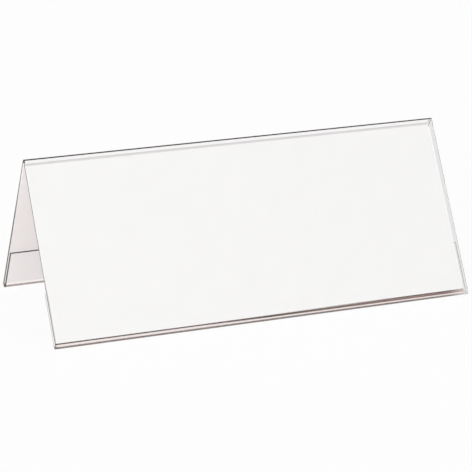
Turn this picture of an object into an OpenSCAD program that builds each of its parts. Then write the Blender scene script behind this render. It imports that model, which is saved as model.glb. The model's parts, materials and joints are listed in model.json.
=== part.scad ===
// Tent-shaped place card holder: one sheet of clear film, folded along its ridge and hemmed along both
// lower edges, with a folded card in the two hems. Each stretch of the two sheets is a node of its own:
// the film's bend at the ridge, its two leaves, hems and lips, and the card's fold and two halves.
// X runs along the ridge, the front leaf faces -Y, and Z is up. The origin is on the table, under the
// middle of the ridge. Profiles are drawn in the Y-Z plane and extruded along X.

/* [Film] */
// Width of the holder along its ridge
film_w = 150; // [80:1:300]
// Slope length of a leaf, from the axis of the ridge to the bottom of its hem
leaf_len = 64; // [40:1:110]
// Thickness of the film
film_t = 0.5; // [0.3:0.05:0.7]
// Angle between the two leaves at the ridge
ridge_angle = 62.5; // [45:0.5:80]
// Inside radius of the film's bend at the ridge
ridge_in_r = 0.1; // [0.05:0.05:0.3]

/* [Hem] */
// Slope length of the lip, from the bottom of the hem to the lip's edge
lip_len = 19; // [10:0.5:30]
// Clear width of the slot between the leaf and its lip
slot_w = 1.4; // [1.2:0.1:2.4]
// Depth of the flat along the bottom of each hem, on which the holder stands
foot_cut = 0.1; // [0.05:0.01:0.2]

/* [Card] */
// Thickness of the card
card_t = 0.25; // [0.15:0.05:0.4]
// How far each end of the card stays inside the end of the film, with the card in the middle
card_inset = 1; // [0.5:0.1:3]
// How far the card lies slid along the hems, to the left of the middle
card_shift = 0.8; // [-20:0.1:20]
// Gap between the bend at the ridge and the top of the card's fold, under it
fold_depth = 0.4; // [0.3:0.1:1.5]

/* [Fits] */
// Gap between the card and the leaf that it lies behind
card_gap = 0.15; // [0.1:0.05:0.3]
// Gap between the card's lower edge and the start of the hem's bend, along the slope
edge_gap = 0.3; // [0.1:0.1:5]
// Running gap around the bend at the ridge, where the rear leaf turns
hinge_gap = 0.05; // [0.03:0.01:0.1]
// Gap between the sweep of the card's fold and its rear half, which turns around it
fold_gap = 0.1; // [0.05:0.05:0.3]

/* [Hidden] */
$fn = 96;
// How far a cut runs past what it cuts
overrun = 1;
// Half of the ridge's angle, which each leaf makes with the upright
lean = ridge_angle / 2;
// Outside radius of the film's bend at the ridge
ridge_r = ridge_in_r + film_t;
// Outside radius of the hem's bend
hem_r = slot_w / 2 + film_t;
// Centre of the hem's bend, in a leaf's own frame: out from the ridge's axis, and down the slope
bend_out = ridge_r - hem_r;
bend_down = leaf_len - hem_r;
// Height of the ridge's axis above the table
axis_z = bend_down * cos(lean) - bend_out * sin(lean) + hem_r - foot_cut;
// Outer face of the card, out from the ridge's axis
card_out = ridge_in_r - card_gap;
// Width of the card along the ridge
card_w = film_w - 2 * card_inset;
// Outside radius of the card's fold, which touches both outer faces of the card and the gap above it
fold_r = ((ridge_r + fold_depth) * sin(lean) + card_out) / (1 - sin(lean));
// Where a half of the card leaves its fold, down the slope
card_top = (fold_r - card_out) / tan(lean);
// The fold's farthest reach from the ridge's axis, which the rear half of the card stays outside
fold_reach = norm([card_out - card_t, card_top]);
// Lower edge of the card, down the slope
card_bottom = bend_down - edge_gap;

// Extrudes a profile of the Y-Z plane along the ridge, centred, at the height of the ridge's axis
module along_ridge(width) {
    translate([-width / 2, 0, axis_z])
        rotate([90, 0, 90])
            linear_extrude(width) children();
}

// A straight stretch of sheet in a leaf's frame: its outer face, its thickness and where it runs
module stretch(outer, thick, from, to) {
    translate([outer - thick, -to]) square([thick, to - from]);
}

// A ring of sheet with the given outside radius
module ring(outer, thick) {
    difference() {
        circle(outer);
        circle(outer - thick);
    }
}

// The film's bend at the ridge, from one leaf over the top to the other
module ridge_profile() {
    reach = 2 * ridge_r;
    intersection() {
        ring(ridge_r, film_t);
        polygon([
            [0, 0],
            [reach * cos(lean), reach * sin(lean)],
            [reach * cos(lean), reach],
            [-reach * cos(lean), reach],
            [-reach * cos(lean), reach * sin(lean)],
        ]);
    }
}

// The flat of a leaf, leaning outwards from the ridge's bend to the hem's
module leaf_profile() {
    rotate(lean) stretch(ridge_r, film_t, 0, bend_down);
}

// The half ring in which the film turns back up at the bottom of a leaf, cut flat to stand on
module hem_profile() {
    difference() {
        rotate(lean)
            translate([bend_out, -bend_down])
                difference() {
                    ring(hem_r, film_t);
                    translate([-hem_r - overrun, 0]) square([2 * (hem_r + overrun), hem_r + overrun]);
                }
        translate([0, -axis_z - leaf_len]) square([leaf_len + overrun, leaf_len]);
    }
}

// The lip, which runs back up behind the leaf from the hem's bend
module lip_profile() {
    rotate(lean) stretch(ridge_r - 2 * hem_r + film_t, film_t, leaf_len - lip_len, bend_down);
}

// A flat half of the card, leaning outwards, from the given place down the slope to its lower edge
module card_profile(from) {
    rotate(lean) stretch(card_out, card_t, from, card_bottom);
}

// The front half of the card's round fold, from the middle of the ridge to where the flat leaves it
module fold_profile() {
    reach = 2 * fold_r;
    rotate(lean)
        translate([card_out - fold_r, -card_top])
            intersection() {
                ring(fold_r, card_t);
                polygon([[0, 0], [reach, 0], [reach, reach / tan(lean)]]);
            }
}

// One stretch of the film along the whole ridge, in the film's colour
module film() {
    color([0.86, 0.87, 0.89, 0.5]) along_ridge(film_w) children();
}

// One stretch of the card, in the card's colour
module card() {
    color([0.97, 0.97, 0.96]) translate([-card_shift, 0, 0]) along_ridge(card_w) children();
}

module ridge_bend() {
    film() ridge_profile();
}

module front_leaf() {
    film() mirror([1, 0]) leaf_profile();
}

module front_hem() {
    film() mirror([1, 0]) hem_profile();
}

module front_lip() {
    film() mirror([1, 0]) lip_profile();
}

// The rear leaf turns around the ridge's bend, so its upper edge is hollowed to clear it
module rear_leaf() {
    film()
        difference() {
            leaf_profile();
            circle(ridge_r + hinge_gap);
        }
}

module rear_hem() {
    film() hem_profile();
}

module rear_lip() {
    film() lip_profile();
}

module card_fold() {
    card() mirror([1, 0]) fold_profile();
}

module card_front() {
    card() mirror([1, 0]) card_profile(card_top);
}

module card_rear() {
    card() card_profile(fold_reach + fold_gap);
}

ridge_bend();
front_leaf();
front_hem();
front_lip();
rear_leaf();
rear_hem();
rear_lip();
card_fold();
card_front();
card_rear();
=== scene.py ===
"""Tent-shaped place card holder: a folded and hemmed sheet of clear film with a folded card in it."""
import json
import math

import bpy
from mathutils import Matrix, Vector


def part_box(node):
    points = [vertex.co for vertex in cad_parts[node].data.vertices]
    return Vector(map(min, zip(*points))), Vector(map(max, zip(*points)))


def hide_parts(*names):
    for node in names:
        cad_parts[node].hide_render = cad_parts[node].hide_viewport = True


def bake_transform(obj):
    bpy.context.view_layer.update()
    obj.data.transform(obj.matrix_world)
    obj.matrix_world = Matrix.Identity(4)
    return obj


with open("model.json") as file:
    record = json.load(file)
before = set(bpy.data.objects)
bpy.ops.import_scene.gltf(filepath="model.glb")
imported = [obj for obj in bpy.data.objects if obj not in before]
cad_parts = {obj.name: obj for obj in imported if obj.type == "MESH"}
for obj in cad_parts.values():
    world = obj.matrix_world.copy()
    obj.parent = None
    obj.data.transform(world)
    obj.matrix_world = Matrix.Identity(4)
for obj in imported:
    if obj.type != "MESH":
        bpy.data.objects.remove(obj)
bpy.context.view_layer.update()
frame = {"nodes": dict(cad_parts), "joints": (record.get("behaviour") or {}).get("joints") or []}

bl_info = {
    "name": "Place Card Holder",
    "version": (1, 0, 0),
    "blender": (4, 5, 0),
    "location": "View3D > Sidebar > Card Holder",
    "description": "Makes a clear tent-shaped card holder, the folded card in it and a small studio",
    "category": "Add Mesh",
}


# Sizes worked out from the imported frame, in metres

def slab(node):
    """Upper and lower end of a front stretch's middle line in the Y-Z plane, and its thickness."""
    points = [Vector((v.co.y, v.co.z)) for v in frame["nodes"][node].data.vertices]
    upper_outer, upper_inner = max(points, key=lambda p: p.y), max(points, key=lambda p: p.x)
    lower_outer, lower_inner = min(points, key=lambda p: p.x), min(points, key=lambda p: p.y)
    upper, lower = (upper_outer + upper_inner) / 2, (lower_outer + lower_inner) / 2
    return upper, lower, (upper_outer - upper_inner).length


def width_of(node):
    """Length of a node along the ridge."""
    low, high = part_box(node)
    return high.x - low.x


def middle_of(node):
    """Where the middle of a node lies along the ridge."""
    low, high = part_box(node)
    return (low.x + high.x) / 2


def joint_height(name):
    """Height of a joint's axis."""
    return next(j["pos_m"][2] for j in frame["joints"] if j["name"] == name)


RIDGE_AXIS = Vector((0, joint_height("ridge_fold")))
LEAF_TOP, LEAF_FOOT, FILM_THICKNESS = slab("front_leaf")
LIP_TOP, LIP_FOOT, _ = slab("front_lip")
CARD_TOP, CARD_FOOT, CARD_THICKNESS = slab("card_front")
DOWN_SLOPE = (LEAF_FOOT - LEAF_TOP).normalized()
LEAN = math.atan2(-DOWN_SLOPE.x, -DOWN_SLOPE.y)
OUTWARD = Vector((-math.cos(LEAN), math.sin(LEAN)))


# Settings that a user would change

class FilmSettings(bpy.types.PropertyGroup):
    """Sizes and colours of the clear film"""
    width: bpy.props.FloatProperty(
        name="Width", description="Length of the film along its ridge",
        default=width_of("front_leaf"), min=0.05, unit="LENGTH")
    thickness: bpy.props.FloatProperty(
        name="Thickness", description="Thickness of the film",
        default=FILM_THICKNESS, min=0.0001, unit="LENGTH")
    leaf_length: bpy.props.FloatProperty(
        name="Leaf Length", description="Flat of a leaf, from the bend at the ridge to the bend of the hem",
        default=(LEAF_FOOT - LEAF_TOP).length, min=0.01, unit="LENGTH")
    lip_length: bpy.props.FloatProperty(
        name="Lip Length", description="Flat of a lip, from the bend of the hem to the lip's cut edge",
        default=(LIP_FOOT - LIP_TOP).length, min=0.001, unit="LENGTH")
    ridge_radius: bpy.props.FloatProperty(
        name="Ridge Radius", description="Radius of the bend at the ridge, at the middle of the film",
        default=(LEAF_TOP - RIDGE_AXIS).length, min=0.0001, unit="LENGTH")
    hem_radius: bpy.props.FloatProperty(
        name="Hem Radius", description="Radius of the bend of a hem, at the middle of the film",
        default=(LEAF_FOOT - LIP_FOOT).length / 2, min=0.0001, unit="LENGTH")
    edge_radius: bpy.props.FloatProperty(
        name="Edge Radius", description="Rounding of the film's cut edges",
        default=0.00008, min=0, unit="LENGTH")
    tint: bpy.props.FloatVectorProperty(
        name="Tint", description="Colour of light that has passed the film",
        default=(0.995, 0.993, 0.993), size=3, min=0, max=1, subtype="COLOR")
    # Painted shade: a grey-pink darkening of the clear film on its bends, where a real bend refracts dark
    # surroundings
    bend_shade_tint: bpy.props.FloatVectorProperty(
        name="Bend Tint", description="Colour of the film where it was bent hot",
        default=(0.94, 0.88, 0.865), size=3, min=0, max=1, subtype="COLOR")
    # Painted shade: the dark lines along a hem and beside the film's left end, where the real clear film
    # refracts shade
    dark_shade_tint: bpy.props.FloatVectorProperty(
        name="Dark Tint", description="Colour of the dark lines along a bent hem",
        default=(0.125, 0.080, 0.064), size=3, min=0, max=1, subtype="COLOR")
    # Painted shade: the shaded inside of the tent, as seen through the slot under the card's lower edge
    slot_shade_tint: bpy.props.FloatVectorProperty(
        name="Brown Tint", description="Colour under the front hem's upper dark line, near its right end",
        default=(0.28, 0.19, 0.17), size=3, min=0, max=1, subtype="COLOR")
    # Painted shade: a pale grey band beside the film's right end
    rim_shade_tint: bpy.props.FloatVectorProperty(
        name="Rim Tint", description="Colour of the film close to its cut ends",
        default=(0.80, 0.79, 0.79), size=3, min=0, max=1, subtype="COLOR")
    # Painted light and shade on the clear cut edges: dark where they refract shade, a painted pale lit edge
    # on the front lip, and less dark at the right end
    edge_shade_color: bpy.props.FloatVectorProperty(
        name="Cut Edge", description="Colour of the film's cut edges",
        default=(0.03, 0.026, 0.025), size=3, min=0, max=1, subtype="COLOR")
    lit_lip_edge_color: bpy.props.FloatVectorProperty(
        name="Lip Edge", description="Colour of the left cut edge of the front lip",
        default=(0.8, 0.79, 0.79), size=3, min=0, max=1, subtype="COLOR")
    right_edge_shade_color: bpy.props.FloatVectorProperty(
        name="Right Edge", description="Colour of the cut edges at the right end",
        default=(0.12, 0.115, 0.115), size=3, min=0, max=1, subtype="COLOR")


class CardSettings(bpy.types.PropertyGroup):
    """Sizes and colours of the folded card"""
    width: bpy.props.FloatProperty(
        name="Width", description="Length of the card along its fold",
        default=width_of("card_front"), min=0.05, unit="LENGTH")
    thickness: bpy.props.FloatProperty(
        name="Thickness", description="Thickness of the card",
        default=CARD_THICKNESS, min=0.0001, unit="LENGTH")
    half_length: bpy.props.FloatProperty(
        name="Half Length", description="Flat of a half, from the fold to the lower edge",
        default=(CARD_FOOT - CARD_TOP).length, min=0.01, unit="LENGTH")
    setback: bpy.props.FloatProperty(
        name="Setback", description="How far the middle of the card lies inside the middle of the film",
        default=(LEAF_TOP - CARD_TOP).dot(OUTWARD), min=0, unit="LENGTH")
    drop: bpy.props.FloatProperty(
        name="Drop", description="How far down the slope the fold of the card goes over into its flat",
        default=(CARD_TOP - LEAF_TOP).dot(DOWN_SLOPE), min=0, unit="LENGTH")
    shift: bpy.props.FloatProperty(
        name="Shift", description="How far the card lies slid along the hems, to the right of the middle",
        default=middle_of("card_front"), unit="LENGTH")
    edge_radius: bpy.props.FloatProperty(
        name="Edge Radius", description="Rounding of the card's cut edges",
        default=CARD_THICKNESS / 8, min=0, unit="LENGTH")
    color: bpy.props.FloatVectorProperty(
        name="Colour", description="Colour of the card's face",
        default=(0.885, 0.884, 0.877), size=3, min=0, max=1, subtype="COLOR")
    # Painted light: the card's inner side is brighter and warmer than its face, as warm bounce light inside
    # the tent
    bounce_lit_back_color: bpy.props.FloatVectorProperty(
        name="Back", description="Colour of the card's inner side",
        default=(0.97, 0.925, 0.922), size=3, min=0, max=1, subtype="COLOR")
    # Painted shade: grey along the card's fold, which lies in shade under the film's ridge
    crease_shade_color: bpy.props.FloatVectorProperty(
        name="Crease", description="Colour of the card along its fold",
        default=(0.70, 0.67, 0.675), size=3, min=0, max=1, subtype="COLOR")
    core_color: bpy.props.FloatVectorProperty(
        name="Cut Edge", description="Colour of the card's core, which shows at its cut edges",
        default=(0.74, 0.73, 0.71), size=3, min=0, max=1, subtype="COLOR")


class StageSettings(bpy.types.PropertyGroup):
    """Camera, floor and lamps"""
    yaw: bpy.props.FloatProperty(
        name="Yaw", description="Turn of the camera from straight ahead of the front leaf",
        default=math.radians(20.779), subtype="ANGLE")
    pitch: bpy.props.FloatProperty(
        name="Pitch", description="How far the camera looks down",
        default=math.radians(18.391), subtype="ANGLE")
    lens: bpy.props.FloatProperty(
        name="Lens", description="Focal length of the camera on a 36 mm sensor",
        default=160.739, min=1, unit="CAMERA")
    floor_color: bpy.props.FloatVectorProperty(
        name="Floor", description="Colour of the floor",
        default=(0.95, 0.95, 0.95), size=3, min=0, max=1, subtype="COLOR")
    ambient: bpy.props.FloatProperty(
        name="Ambient", description="Strength of the white surroundings",
        default=0.74, min=0)
    key_power: bpy.props.FloatProperty(
        name="Key", description="Power of the large lamp ahead and to the left",
        default=1.0, min=0, unit="POWER")
    top_power: bpy.props.FloatProperty(
        name="Top", description="Power of the large lamp overhead",
        default=1.0, min=0, unit="POWER")
    side_power: bpy.props.FloatProperty(
        name="Side", description="Power of the low lamp to the left, which lights the inside of the tent",
        default=400.0, min=0, unit="POWER")


# Node helpers

# Sockets of the Mix node that hold colours
MIX_A, MIX_B, MIX_RESULT = 6, 7, 2
# How far apart nodes are placed in their editor
NODE_SPACING = 220


def put(tree, kind, sockets=None, **settings):
    """Adds a node with its settings. Each socket in the list gets a value or a link from another node."""
    node = tree.nodes.new(kind)
    node.location = (NODE_SPACING * len(tree.nodes), 0)
    for name, value in settings.items():
        setattr(node, name, value)
    for name, value in (sockets or {}).items():
        if isinstance(value, bpy.types.NodeSocket):
            tree.links.new(value, node.inputs[name])
        else:
            node.inputs[name].default_value = value
    return node


def blend_colors(tree, factor, first, second):
    """Mixes two colours, of which either may be a link."""
    mix = put(tree, "ShaderNodeMix", {0: factor, MIX_A: first, MIX_B: second}, data_type="RGBA")
    return mix.outputs[MIX_RESULT]


def math_node(tree, operation, first, second=0.0):
    """One sum or comparison on values, of which either may be a link."""
    return put(tree, "ShaderNodeMath", {0: first, 1: second}, operation=operation).outputs[0]


def map_range(tree, value, start, end, low=0.0, high=1.0):
    """Turns a span of values into another one, and holds the ends."""
    return put(tree, "ShaderNodeMapRange", {
        "Value": value, "From Min": start, "From Max": end, "To Min": low, "To Max": high}).outputs[0]


def ramp(tree, factor, stops):
    """A row of colours, each from its place between 0 and 1."""
    node = put(tree, "ShaderNodeValToRGB", {0: factor})
    elements = node.color_ramp.elements
    while len(elements) < len(stops):
        elements.new(1.0)
    for element, (place, color) in zip(elements, stops):
        element.position, element.color = place, opaque(color)
    return node.outputs["Color"]


def opaque(color):
    """A colour with full alpha."""
    return (*color, 1)


# The sheet, swept along its fold line by Geometry Nodes

SHEET_INPUTS = (
    ("Width", "NodeSocketFloat"), ("Thickness", "NodeSocketFloat"), ("Line Length", "NodeSocketFloat"),
    ("Floor Height", "NodeSocketFloat"), ("Face Material", "NodeSocketMaterial"),
    ("Edge Material", "NodeSocketMaterial"),
)
# Faces whose normal has more than this share along the ridge are cut ends
END_FACING = 0.5
# How near a face lies to an end of the fold line to be the cut edge there
LENGTH_TOLERANCE = 1e-6


def sheet_tree():
    """Sweeps a flat rectangle along a fold line, and gives its faces and its cut edges a material each."""
    tree = bpy.data.node_groups.new("folded_sheet", "GeometryNodeTree")
    tree.interface.new_socket("Fold Line", in_out="INPUT", socket_type="NodeSocketGeometry")
    for name, kind in SHEET_INPUTS:
        tree.interface.new_socket(name, in_out="INPUT", socket_type=kind)
    tree.interface.new_socket("Sheet", in_out="OUTPUT", socket_type="NodeSocketGeometry")
    given = put(tree, "NodeGroupInput").outputs

    line = put(tree, "GeometryNodeMeshToCurve", {"Mesh": given["Fold Line"]})
    parameter = put(tree, "GeometryNodeSplineParameter")
    path = put(tree, "GeometryNodeCaptureAttribute", {"Geometry": line.outputs["Curve"]})
    path.capture_items.new("FLOAT", "along")
    tree.links.new(parameter.outputs["Length"], path.inputs["along"])

    rectangle = put(tree, "GeometryNodeCurvePrimitiveQuadrilateral", {
        "Width": given["Width"], "Height": given["Thickness"]}, mode="RECTANGLE")
    place = put(tree, "GeometryNodeInputPosition")
    profile = put(tree, "GeometryNodeCaptureAttribute", {"Geometry": rectangle.outputs["Curve"]})
    profile.capture_items.new("VECTOR", "place")
    tree.links.new(place.outputs["Position"], profile.inputs["place"])

    swept = put(tree, "GeometryNodeCurveToMesh", {
        "Curve": path.outputs["Geometry"], "Profile Curve": profile.outputs["Geometry"], "Fill Caps": True})

    # The sheet's own coordinates: along the ridge, over it from front to rear, and towards the inside
    position = put(tree, "GeometryNodeInputPosition")
    axes = put(tree, "ShaderNodeSeparateXYZ", {0: position.outputs["Position"]})
    depth = put(tree, "ShaderNodeSeparateXYZ", {0: profile.outputs["place"]}).outputs["Y"]
    half_length = math_node(tree, "DIVIDE", given["Line Length"], 2.0)
    over = math_node(tree, "SUBTRACT", path.outputs["along"], half_length)
    own = put(tree, "ShaderNodeCombineXYZ", {"X": axes.outputs["X"], "Y": over, "Z": depth})
    stored = put(tree, "GeometryNodeStoreNamedAttribute", {
        "Geometry": swept.outputs["Mesh"], "Name": "sheet", "Value": own.outputs["Vector"]},
        data_type="FLOAT_VECTOR", domain="POINT")

    # Where the sheet stands, its bend is flattened to the floor
    height = math_node(tree, "MAXIMUM", axes.outputs["Z"], given["Floor Height"])
    flattened = put(tree, "ShaderNodeCombineXYZ", {
        "X": axes.outputs["X"], "Y": axes.outputs["Y"], "Z": height})
    standing = put(tree, "GeometryNodeSetPosition", {
        "Geometry": stored.outputs["Geometry"], "Position": flattened.outputs["Vector"]})

    # Cut edges are the faces at both ends of the ridge and at both ends of the fold line
    facing = put(tree, "ShaderNodeSeparateXYZ", {0: put(tree, "GeometryNodeInputNormal").outputs["Normal"]})
    at_end = math_node(tree, "GREATER_THAN", math_node(tree, "ABSOLUTE", facing.outputs["X"]), END_FACING)
    reach = math_node(tree, "SUBTRACT", half_length, LENGTH_TOLERANCE)
    at_cap = math_node(tree, "GREATER_THAN", math_node(tree, "ABSOLUTE", over), reach)
    cut = math_node(tree, "MAXIMUM", at_end, at_cap)
    faces = put(tree, "GeometryNodeSetMaterial", {
        "Geometry": standing.outputs["Geometry"], "Material": given["Face Material"]})
    edges = put(tree, "GeometryNodeSetMaterial", {
        "Geometry": faces.outputs["Geometry"], "Selection": cut, "Material": given["Edge Material"]})
    real = put(tree, "GeometryNodeRealizeInstances", {"Geometry": edges.outputs["Geometry"]})
    put(tree, "NodeGroupOutput", {"Sheet": real.outputs["Geometry"]})
    return tree


def arc(centre, start, sweep, steps):
    """Points on a round bend in the Y-Z plane, from its start over the given angle, ends included."""
    spoke = Vector(start) - Vector(centre)
    turned = []
    for i in range(steps + 1):
        angle = sweep * i / steps
        turned.append(Vector(centre) + Vector((
            spoke.x * math.cos(angle) - spoke.y * math.sin(angle),
            spoke.x * math.sin(angle) + spoke.y * math.cos(angle))))
    return turned


def leaf_point(out, down):
    """A point of the front leaf: outwards from the ridge's axis, and down the slope."""
    return RIDGE_AXIS + OUTWARD * out + DOWN_SLOPE * down


def near_the_ridge(top, reach, steps):
    """Points down the slope from the upper end of a flat, where the sheet may flex."""
    return [top + DOWN_SLOPE * reach * i / steps for i in range(steps, 0, -1)]


def mirrored(half):
    """The front half of a fold line, then its mirror image behind the ridge."""
    return half + [Vector((-p.x, p.y)) for p in reversed(half[:-1])]


def fold_line_object(name, points, bend_share, along):
    """A chain of edges across the ridge, with a bend attribute that is 1 on round bends and 0 on flats."""
    mesh = bpy.data.meshes.new(name)
    edges = [(i, i + 1) for i in range(len(points) - 1)]
    mesh.from_pydata([(along, p.x, p.y) for p in points], edges, [])
    mesh.attributes.new("bend", "FLOAT", "POINT").data.foreach_set("value", bend_share)
    fold_line = bpy.data.objects.new(name, mesh)
    bpy.context.scene.collection.objects.link(fold_line)
    return fold_line


def line_length(points):
    """Length of a chain of points."""
    return sum((b - a).length for a, b in zip(points, points[1:]))


# Bends turn by less than this from face to face, and the rounding of cut edges by more
SMOOTH_ANGLE = math.radians(15)
# Cut edges turn by more than this before they are rounded
CUT_ANGLE = math.radians(60)
ROUNDING_STEPS = 2
# Slot of the cut edge's material on a piece
EDGE_SLOT = 1


def bevel_cut_edges(piece, radius):
    """Rounds the sharp edges of a sheet a little, as its knife leaves them, in the cut edge's material."""
    bevel = piece.modifiers.new("cut_edges", "BEVEL")
    bevel.material = EDGE_SLOT
    bevel.limit_method = "ANGLE"
    bevel.angle_limit = CUT_ANGLE
    bevel.width = radius
    bevel.segments = ROUNDING_STEPS


def make_sheet(name, points, bend_share, values, edge_radius, along=0.0):
    """Sweeps a sheet along its fold line and turns it into a plain mesh with smooth bends."""
    fold_line = fold_line_object(name + "_line", points, bend_share, along)
    fold_line.data.materials.append(values["Face Material"])
    fold_line.data.materials.append(values["Edge Material"])
    tree = bpy.data.node_groups.get("folded_sheet") or sheet_tree()
    sweep = fold_line.modifiers.new("folded_sheet", "NODES")
    sweep.node_group = tree
    keys = {item.name: item.identifier for item in tree.interface.items_tree if item.in_out == "INPUT"}
    for socket, value in values.items():
        sweep[keys[socket]] = value
    bevel_cut_edges(fold_line, edge_radius)
    evaluated = fold_line.evaluated_get(bpy.context.evaluated_depsgraph_get())
    mesh = bpy.data.meshes.new_from_object(evaluated)
    bpy.data.objects.remove(fold_line)
    mesh.name = name
    mesh.shade_smooth()
    mesh.set_sharp_from_angle(angle=SMOOTH_ANGLE)
    piece = bpy.data.objects.new(name, mesh)
    bpy.context.scene.collection.objects.link(piece)
    return piece


# Shared effects

def mottle_group():
    """Uneven patches in a sheet's own coordinates, as a mask from 0 to 1."""
    group = bpy.data.node_groups.get("mottle")
    if group:
        return group
    group = bpy.data.node_groups.new("mottle", "ShaderNodeTree")
    group.interface.new_socket("Vector", in_out="INPUT", socket_type="NodeSocketVector")
    for name in ("Patch Scale", "Stretch", "Low", "High"):
        group.interface.new_socket(name, in_out="INPUT", socket_type="NodeSocketFloat")
    group.interface.new_socket("Mask", in_out="OUTPUT", socket_type="NodeSocketFloat")
    given = put(group, "NodeGroupInput").outputs
    stretch = put(group, "ShaderNodeCombineXYZ", {"X": given["Stretch"], "Y": 1.0, "Z": 1.0})
    vector = put(group, "ShaderNodeVectorMath", {
        0: given["Vector"], 1: stretch.outputs[0]}, operation="MULTIPLY")
    noise = put(group, "ShaderNodeTexNoise", {
        "Vector": vector.outputs[0], "Scale": given["Patch Scale"], "Detail": 4.0, "Roughness": 0.6})
    span = put(group, "ShaderNodeMapRange", {
        "Value": noise.outputs[0], "From Min": given["Low"], "From Max": given["High"]})
    put(group, "NodeGroupOutput", {"Mask": span.outputs[0]})
    return group


def mottle(tree, vector, scale, stretch=1.0, low=0.35, high=0.65):
    """Places the mottle group in a material and returns its mask."""
    node = put(tree, "ShaderNodeGroup", node_tree=mottle_group())
    tree.links.new(vector, node.inputs["Vector"])
    for name, value in (("Patch Scale", scale), ("Stretch", stretch), ("Low", low), ("High", high)):
        node.inputs[name].default_value = value
    return node.outputs["Mask"]


def sheet_vector(tree):
    """The sheet's own coordinates, which bend with it."""
    return put(tree, "ShaderNodeAttribute", attribute_name="sheet").outputs["Vector"]


def bend_mask(tree):
    """1 on the sheet's round bends and 0 on its flats."""
    return put(tree, "ShaderNodeAttribute", attribute_name="bend").outputs["Fac"]


def bump(tree, height, distance, strength):
    """Turns a mask into fine relief of the given height in metres."""
    node = put(tree, "ShaderNodeBump", {"Height": height, "Distance": distance, "Strength": strength})
    return node.outputs[0]


def new_material(name):
    """An empty node material and its tree."""
    material = bpy.data.materials.new(name)
    material.use_nodes = True
    material.node_tree.nodes.clear()
    return material, material.node_tree


# Materials

# How far above its bend the painted shade bands of a hem start, and where across it the lip starts, from 0
# to 1
HEM_LEAD, LIP_PLACE = 0.0009, 0.999
# Bands across a hem, each with its place from 0 to 1 and the setting that holds its colour.
# They are painted shade: dark lines where the shaded slot under the card and the shade along the foot show
# through the bend, brown where the shaded inside of the tent shows, and paler painted shade between them.
# The front hem has three rows of bands along it, which all end in the same bands along the foot.
FOOT_BANDS = ((0.42, "bend_shade_tint"), (0.46, "dark_shade_tint"), (0.66, "dark_shade_tint"), (0.71, "tint"))
LEFT_BANDS = (
    (0.0, "tint"), (0.11, "tint"), (0.13, "dark_shade_tint"), (0.21, "dark_shade_tint"),
    (0.25, "bend_shade_tint"), *FOOT_BANDS)
MIDDLE_BANDS = (
    (0.0, "tint"), (0.10, "tint"), (0.12, "dark_shade_tint"), (0.27, "dark_shade_tint"),
    (0.30, "bend_shade_tint"), *FOOT_BANDS)
RIGHT_BANDS = (
    (0.0, "tint"), (0.03, "tint"), (0.05, "dark_shade_tint"), (0.10, "dark_shade_tint"), (0.13, "slot_shade_tint"),
    (0.30, "slot_shade_tint"), (0.33, "bend_shade_tint"), *FOOT_BANDS)
REAR_BANDS = (
    (0.0, "tint"), (0.12, "bend_shade_tint"), (0.50, "bend_shade_tint"), (0.57, "dark_shade_tint"), (0.80, "dark_shade_tint"),
    (0.87, "bend_shade_tint"), (1.0, "tint"))
# Where the left and the right bands are reached, as shares of the film's width from its middle
LEFT_BANDS_SHARE, RIGHT_BANDS_SHARE = -1 / 6, 1 / 3
# How much the bands fade at their right end, and from how far away
RIGHT_FADE, RIGHT_FADE_REACH = 0.7, 0.007


def hem_place(tree, over, film):
    """0 where the bands of a hem start, and 1 where its bend goes over into the lip."""
    flat_end = film.ridge_radius * (math.pi / 2 - LEAN) + film.leaf_length
    past_flat = math_node(tree, "SUBTRACT", math_node(tree, "ABSOLUTE", over), flat_end)
    return map_range(tree, past_flat, -HEM_LEAD, math.pi * film.hem_radius)


def from_right_end(tree, axes, film):
    """How far a point lies from the film's right end."""
    return math_node(tree, "SUBTRACT", film.width / 2, axes["X"])


def behind_ridge(tree, axes):
    """1 on the rear half of the film and 0 on its front half."""
    return math_node(tree, "GREATER_THAN", axes["Y"], 0.0)


def band_colors(tree, place, bands, film):
    """The colours of a row of bands across a hem."""
    return ramp(tree, place, [(start, getattr(film, setting)) for start, setting in bands])


def hem_shade_bands(tree, axes, place, film):
    """Painted shade in bands along a hem: dark under the card's lower edge and along the foot, and lighter
    between them.
    """
    left = band_colors(tree, place, LEFT_BANDS, film)
    middle = band_colors(tree, place, MIDDLE_BANDS, film)
    right = band_colors(tree, place, RIGHT_BANDS, film)
    rear = band_colors(tree, place, REAR_BANDS, film)
    to_middle = map_range(tree, axes["X"], LEFT_BANDS_SHARE * film.width, 0.0)
    to_right = map_range(tree, axes["X"], 0.0, RIGHT_BANDS_SHARE * film.width)
    front = blend_colors(tree, to_right, blend_colors(tree, to_middle, left, middle), right)
    banded = blend_colors(tree, behind_ridge(tree, axes), front, rear)
    fade = map_range(tree, from_right_end(tree, axes, film), 0.0, RIGHT_FADE_REACH, RIGHT_FADE, 0.0)
    return blend_colors(tree, fade, banded, opaque(film.bend_shade_tint))


# The painted dark shade line beside the film's left end: how far in it starts to fade, and how far in it
# has gone
LEFT_LINE = (0.0003, 0.00045)
# The same for the painted pale shade band beside its right end
RIGHT_BAND = (0.0014, 0.00168)
# How far over the ridge the painted dark line sets in on the rear leaf, which lies in shade, and where it
# is at its full.
# The painted shade on the cut edges darkens over the same stretch.
REAR_LINE = (0.005, 0.027)
# The same for the line on the front leaf, and its strength there
FRONT_LINE, FRONT_LINE_STRENGTH = (-0.040, -0.048), 0.5
# How far from the middle of the ridge the line shows on its bend
RIDGE_LINE_REACH = 0.0012


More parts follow.
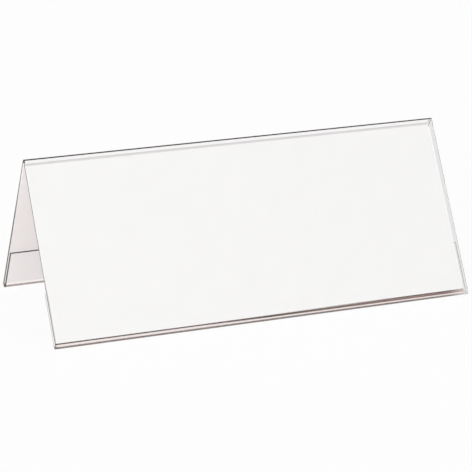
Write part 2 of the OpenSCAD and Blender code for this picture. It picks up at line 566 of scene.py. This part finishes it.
def with_rim_shade(tree, axes, place, film, color):
    """Paints shade on the film beside its cut ends: a dark line at the left, a pale grey band at the right.
    """
    from_left = math_node(tree, "ADD", axes["X"], film.width / 2)
    beside_left = map_range(tree, from_left, *LEFT_LINE, 1.0, 0.0)
    rear = map_range(tree, axes["Y"], *REAR_LINE)
    front = map_range(tree, axes["Y"], *FRONT_LINE, 0.0, FRONT_LINE_STRENGTH)
    ridge = math_node(tree, "LESS_THAN", math_node(tree, "ABSOLUTE", axes["Y"]), RIDGE_LINE_REACH)
    line = math_node(tree, "MAXIMUM", ridge, math_node(tree, "MAXIMUM", rear, front))
    off_lip = math_node(tree, "LESS_THAN", place, LIP_PLACE)
    off_front_lip = math_node(tree, "MAXIMUM", off_lip, behind_ridge(tree, axes))
    left = math_node(tree, "MULTIPLY", math_node(tree, "MULTIPLY", beside_left, line), off_front_lip)
    lined = blend_colors(tree, left, color, opaque(film.dark_shade_tint))
    beside_right = map_range(tree, from_right_end(tree, axes, film), *RIGHT_BAND, 1.0, 0.0)
    right = math_node(tree, "MULTIPLY", beside_right, off_front_lip)
    return blend_colors(tree, right, lined, opaque(film.rim_shade_tint))


FILM_IOR = 1.54


def finish_clear(tree, film, glass):
    """Puts out a glass-like shader, or a clear one for shadow and diffuse rays, which glass would stop."""
    passing = put(tree, "ShaderNodeBsdfTransparent", {"Color": opaque(film.tint)})
    ray = put(tree, "ShaderNodeLightPath").outputs
    through = math_node(tree, "MAXIMUM", ray["Is Shadow Ray"], ray["Is Diffuse Ray"])
    surface = put(tree, "ShaderNodeMixShader", {0: through, 1: glass.outputs[0], 2: passing.outputs[0]})
    put(tree, "ShaderNodeOutputMaterial", {"Surface": surface.outputs[0]})


def film_face_material(film):
    """Clear rigid film: glass-like, with faint handling marks, painted shade on its bends and hems, and
    painted shade beside its cut ends.
    """
    material, tree = new_material("film_face")
    vector = sheet_vector(tree)
    haze = mottle(tree, vector, scale=90.0)
    axes = put(tree, "ShaderNodeSeparateXYZ", {0: vector}).outputs
    place = hem_place(tree, axes["Y"], film)
    on_hem = math_node(tree, "MULTIPLY", math_node(tree, "GREATER_THAN", place, 0.0),
                       math_node(tree, "LESS_THAN", place, 1.0))
    # Painted shade on the ridge's bend, where the real bend refracts dark surroundings
    ridge = blend_colors(tree, bend_mask(tree), opaque(film.tint), opaque(film.bend_shade_tint))
    bands = hem_shade_bands(tree, axes, place, film)
    tint = with_rim_shade(tree, axes, place, film, blend_colors(tree, on_hem, ridge, bands))
    ripple = mottle(tree, vector, scale=260.0, stretch=0.15)
    glass = put(tree, "ShaderNodeBsdfPrincipled", {
        "Base Color": tint, "Roughness": map_range(tree, haze, 0.0, 1.0, low=0.015, high=0.05),
        "IOR": FILM_IOR, "Transmission Weight": 1.0,
        "Normal": bump(tree, ripple, distance=0.000002, strength=0.4)})
    finish_clear(tree, film, glass)
    return material


# How much the knife's marks lighten a cut edge, and how dark the painted shade on the edge is at the rear,
# which lies in shade, beside the front
MARKS_WEAR, REAR_EDGE_SHADE_SHARE = 0.03, 1 / 30


def film_edge_material(film):
    """Cut edge of the film: clear, with painted shade that makes it mostly dark, darkest at the rear and
    less dark at the right end, a painted pale lit edge on the front lip, and fine marks of the knife along
    its length.
    """
    material, tree = new_material("film_cut_edge")
    vector = sheet_vector(tree)
    marks = mottle(tree, vector, scale=1500.0, low=0.3, high=0.7)
    axes = put(tree, "ShaderNodeSeparateXYZ", {0: vector}).outputs
    on_lip = math_node(tree, "GREATER_THAN", hem_place(tree, axes["Y"], film), LIP_PLACE)
    # Painted light and shade: the front lip's edge is painted pale, the right end's edges less dark, and
    # the rear edges darkest
    left = blend_colors(tree, on_lip, opaque(film.edge_shade_color), opaque(film.lit_lip_edge_color))
    at_right = math_node(tree, "GREATER_THAN", axes["X"], 0.0)
    front = blend_colors(tree, at_right, left, opaque(film.right_edge_shade_color))
    rear = opaque([REAR_EDGE_SHADE_SHARE * c for c in film.edge_shade_color])
    lit_and_shaded_sides = blend_colors(tree, map_range(tree, axes["Y"], *REAR_LINE), front, rear)
    worn = math_node(tree, "MULTIPLY", marks, MARKS_WEAR)
    glass = put(tree, "ShaderNodeBsdfPrincipled", {
        "Base Color": blend_colors(tree, worn, lit_and_shaded_sides, opaque(film.right_edge_shade_color)),
        "Roughness": 0.5, "IOR": FILM_IOR, "Specular IOR Level": 0.02, "Transmission Weight": 1.0,
        "Normal": bump(tree, marks, distance=0.00001, strength=0.5)})
    finish_clear(tree, film, glass)
    return material


# How bright the clouds in the card's white are beside it, and how strongly they show
CLOUD_SHARE, CLOUD_STRENGTH = 0.975, 0.6


def card_face_material(card):
    """White card: matt, with faint clouds and fibres, painted warm bounce light that makes its inner side
    brighter and warmer, and painted shade along its crease.
    """
    material, tree = new_material("card_face")
    vector = sheet_vector(tree)
    fibre = mottle(tree, vector, scale=2200.0, stretch=0.4)
    cloud = mottle(tree, vector, scale=120.0)
    shade = opaque([CLOUD_SHARE * c for c in card.color])
    tone = map_range(tree, cloud, 0.0, 1.0, high=CLOUD_STRENGTH)
    paper = blend_colors(tree, tone, opaque(card.color), shade)
    depth = put(tree, "ShaderNodeSeparateXYZ", {0: vector}).outputs["Z"]
    # Painted light: the inner side takes the brighter, warmer colour of bounce light
    lit_and_shaded_sides = blend_colors(tree, math_node(tree, "GREATER_THAN", depth, 0.0), paper, opaque(card.bounce_lit_back_color))
    matt = put(tree, "ShaderNodeBsdfPrincipled", {
        "Base Color": blend_colors(tree, bend_mask(tree), lit_and_shaded_sides, opaque(card.crease_shade_color)),
        "Roughness": map_range(tree, fibre, 0.0, 1.0, low=0.55, high=0.7), "Specular IOR Level": 0.25,
        "Normal": bump(tree, fibre, distance=0.00001, strength=0.3)})
    put(tree, "ShaderNodeOutputMaterial", {"Surface": matt.outputs[0]})
    return material


def card_edge_material(card):
    """Cut edge of the card, where its grey core shows between the white faces."""
    material, tree = new_material("card_cut_edge")
    layers = mottle(tree, sheet_vector(tree), scale=6000.0, stretch=0.2)
    matt = put(tree, "ShaderNodeBsdfPrincipled", {
        "Base Color": blend_colors(tree, layers, opaque(card.core_color), opaque(card.color)),
        "Roughness": 0.8, "Specular IOR Level": 0.2,
        "Normal": bump(tree, layers, distance=0.00002, strength=0.4)})
    put(tree, "ShaderNodeOutputMaterial", {"Surface": matt.outputs[0]})
    return material


WHITE = (1, 1, 1, 1)
# How much of the floor's colour is plain white to the eye. The rest of it takes the shadow.
FLOOR_WHITE_SHARE = 0.92


def seen_rays(tree):
    """1 for rays that the eye follows: straight, mirrored or through something clear."""
    ray = put(tree, "ShaderNodeLightPath").outputs
    mirrored_ray = math_node(tree, "MAXIMUM", ray["Is Glossy Ray"], ray["Is Transmission Ray"])
    return math_node(tree, "MAXIMUM", ray["Is Camera Ray"], mirrored_ray)


def floor_material(stage):
    """Pale floor that shows as white where nothing shades it."""
    material, tree = new_material("stage_floor")
    matt = put(tree, "ShaderNodeBsdfDiffuse", {"Color": opaque(stage.floor_color)})
    white = put(tree, "ShaderNodeEmission", {"Color": WHITE, "Strength": 1.0})
    factor = math_node(tree, "MULTIPLY", seen_rays(tree), FLOOR_WHITE_SHARE)
    surface = put(tree, "ShaderNodeMixShader", {0: factor, 1: matt.outputs[0], 2: white.outputs[0]})
    put(tree, "ShaderNodeOutputMaterial", {"Surface": surface.outputs[0]})
    return material


# Operators

# Steps around the bend of a hem, around half of the film's ridge and around half of the card's fold
HEM_STEPS, RIDGE_STEPS, FOLD_STEPS = 28, 10, 14
# How far a sheet may flex beside its fold, and in how many steps
FLEX_REACH, FLEX_STEPS = 0.0016, 8
# How far from a hem's bend the last point of a flat lies, so that the painted shade of the bend ends there
FLAT_MARGIN = 0.0001


class CARDHOLDER_OT_film(bpy.types.Operator):
    """Make the clear film, folded along its ridge and hemmed along both lower edges"""
    bl_idname = "cardholder.film"
    bl_label = "Make Film"

    def execute(self, context):
        film = context.scene.card_holder_film
        top, foot = film.ridge_radius, film.leaf_length
        leaf_top = leaf_point(top, 0)
        hem_centre = leaf_point(top - film.hem_radius, foot)
        lip_out = top - 2 * film.hem_radius
        hem = arc(hem_centre, leaf_point(lip_out, foot), -math.pi, HEM_STEPS)
        flex = near_the_ridge(leaf_top, FLEX_REACH, FLEX_STEPS)
        ridge = arc(RIDGE_AXIS, leaf_top, -(math.pi / 2 - LEAN), RIDGE_STEPS)
        lip = [leaf_point(lip_out, foot - film.lip_length), leaf_point(lip_out, foot - FLAT_MARGIN)]
        half = lip + hem + [leaf_point(top, foot - FLAT_MARGIN)] + flex + ridge
        bend = [0.0] * 2 + [1.0] * len(hem) + [0.0] * (1 + len(flex)) + [1.0] * len(ridge)
        points = mirrored(half)
        piece = make_sheet("film_sheet", points, bend + bend[-2::-1], {
            "Width": film.width,
            "Thickness": film.thickness,
            "Line Length": line_length(points),
            "Floor Height": 0.0,
            "Face Material": film_face_material(film),
            "Edge Material": film_edge_material(film),
        }, film.edge_radius)
        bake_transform(piece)
        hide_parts("ridge_bend", "front_leaf", "front_hem", "front_lip",
                    "rear_leaf", "rear_hem", "rear_lip")
        return {"FINISHED"}


class CARDHOLDER_OT_card(bpy.types.Operator):
    """Make the white card, folded once, with its halves behind the two leaves"""
    bl_idname = "cardholder.card"
    bl_label = "Make Card"

    def execute(self, context):
        film, card = context.scene.card_holder_film, context.scene.card_holder_card
        out = film.ridge_radius - card.setback
        top = leaf_point(out, card.drop)
        fold_radius = -top.x / math.cos(LEAN)
        centre = top - OUTWARD * fold_radius
        fold = arc(centre, top, -(math.pi / 2 - LEAN), FOLD_STEPS)
        flex = near_the_ridge(top, FLEX_REACH, FLEX_STEPS)
        half = [leaf_point(out, card.drop + card.half_length)] + flex + fold
        bend = [0.0] * (1 + len(flex)) + [1.0] * len(fold)
        points = mirrored(half)
        piece = make_sheet("insert_card", points, bend + bend[-2::-1], {
            "Width": card.width,
            "Thickness": card.thickness,
            "Line Length": line_length(points),
            "Floor Height": 0.0,
            "Face Material": card_face_material(card),
            "Edge Material": card_edge_material(card),
        }, card.edge_radius, card.shift)
        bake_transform(piece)
        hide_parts("card_fold", "card_front", "card_rear")
        return {"FINISHED"}


# Where the camera stands, as fitted to the photo
CAMERA_PLACE = (-0.247489, -0.653850, 0.252598)
# Width of the camera's sensor in millimetres
SENSOR_WIDTH = 36
# The nearest and the farthest that the camera sees
CLIP_START, CLIP_END = 0.01, 100
# Each lamp with its place, its size and the setting that holds its power
LAMPS = (
    ("key_lamp", (-0.9, -1.1, 1.2), 0.9, "key_power"),
    ("top_lamp", (0.3, 0.1, 1.6), 1.2, "top_power"),
    ("side_lamp", (-5.35, -2.7, 0.16), 2.0, "side_power"),
)
# The point that every lamp faces
LAMP_TARGET = (0, 0, 0.03)
# Length of each side of the floor
FLOOR_SIZE = 30.0
# How far the floor lies below the feet, so that their faces don't meet it
FLOOR_DROP = 0.00002


class CARDHOLDER_OT_stage(bpy.types.Operator):
    """Make the camera, a plain pale floor and soft studio light"""
    bl_idname = "cardholder.stage"
    bl_label = "Make Stage"

    def execute(self, context):
        stage = context.scene.card_holder_stage
        self.add_camera(context, stage)
        self.add_floor(context, stage)
        self.add_world(context, stage)
        for name, place, size, setting in LAMPS:
            self.add_lamp(context, name, place, size, getattr(stage, setting))
        context.scene.view_settings.view_transform = "Standard"
        return {"FINISHED"}

    def add_camera(self, context, stage):
        data = bpy.data.cameras.new("photo_camera")
        data.lens, data.sensor_width = stage.lens, SENSOR_WIDTH
        data.clip_start, data.clip_end = CLIP_START, CLIP_END
        camera = bpy.data.objects.new("photo_camera", data)
        camera.location = CAMERA_PLACE
        camera.rotation_euler = (math.pi / 2 - stage.pitch, 0, -stage.yaw)
        context.scene.collection.objects.link(camera)
        context.scene.camera = camera

    def add_floor(self, context, stage):
        half = FLOOR_SIZE / 2
        mesh = bpy.data.meshes.new("floor")
        corners = [(-half, -half), (half, -half), (half, half), (-half, half)]
        mesh.from_pydata([(x, y, -FLOOR_DROP) for x, y in corners], [], [(0, 1, 2, 3)])
        mesh.materials.append(floor_material(stage))
        floor = bpy.data.objects.new("floor", mesh)
        context.scene.collection.objects.link(floor)

    def add_world(self, context, stage):
        world = bpy.data.worlds.new("studio")
        world.use_nodes = True
        tree = world.node_tree
        tree.nodes.clear()
        light = put(tree, "ShaderNodeBackground", {"Color": WHITE, "Strength": stage.ambient})
        white = put(tree, "ShaderNodeBackground", {"Color": WHITE, "Strength": 1.0})
        seen = put(tree, "ShaderNodeMixShader", {
            0: seen_rays(tree), 1: light.outputs[0], 2: white.outputs[0]})
        put(tree, "ShaderNodeOutputWorld", {"Surface": seen.outputs[0]})
        context.scene.world = world

    def add_lamp(self, context, name, place, size, power):
        data = bpy.data.lights.new(name, "AREA")
        data.size, data.energy = size, power
        lamp = bpy.data.objects.new(name, data)
        lamp.location = place
        lamp.rotation_euler = (Vector(LAMP_TARGET) - Vector(place)).to_track_quat("-Z", "Y").to_euler()
        context.scene.collection.objects.link(lamp)


class CARDHOLDER_PT_panel(bpy.types.Panel):
    """Sizes, colours and operators of the card holder"""
    bl_idname = "CARDHOLDER_PT_panel"
    bl_label = "Place Card Holder"
    bl_space_type = "VIEW_3D"
    bl_region_type = "UI"
    bl_category = "Card Holder"

    def draw(self, context):
        layout = self.layout
        for label, settings, operator in PANEL_ROWS:
            box = layout.box()
            box.label(text=label)
            values = getattr(context.scene, settings)
            for name in values.__annotations__:
                box.prop(values, name)
            box.operator(operator.bl_idname)


PANEL_ROWS = (
    ("Film", "card_holder_film", CARDHOLDER_OT_film),
    ("Card", "card_holder_card", CARDHOLDER_OT_card),
    ("Stage", "card_holder_stage", CARDHOLDER_OT_stage),
)
SETTINGS = (
    ("card_holder_film", FilmSettings),
    ("card_holder_card", CardSettings),
    ("card_holder_stage", StageSettings),
)
CLASSES = (
    FilmSettings, CardSettings, StageSettings,
    CARDHOLDER_OT_film, CARDHOLDER_OT_card, CARDHOLDER_OT_stage, CARDHOLDER_PT_panel,
)


def register():
    for cls in CLASSES:
        bpy.utils.register_class(cls)
    for name, cls in SETTINGS:
        setattr(bpy.types.Scene, name, bpy.props.PointerProperty(type=cls))


def unregister():
    for name, _ in SETTINGS:
        delattr(bpy.types.Scene, name)
    for cls in reversed(CLASSES):
        bpy.utils.unregister_class(cls)


def main():
    register()
    bpy.ops.cardholder.film()
    bpy.ops.cardholder.card()
    bpy.ops.cardholder.stage()


if __name__ == "__main__":
    main()
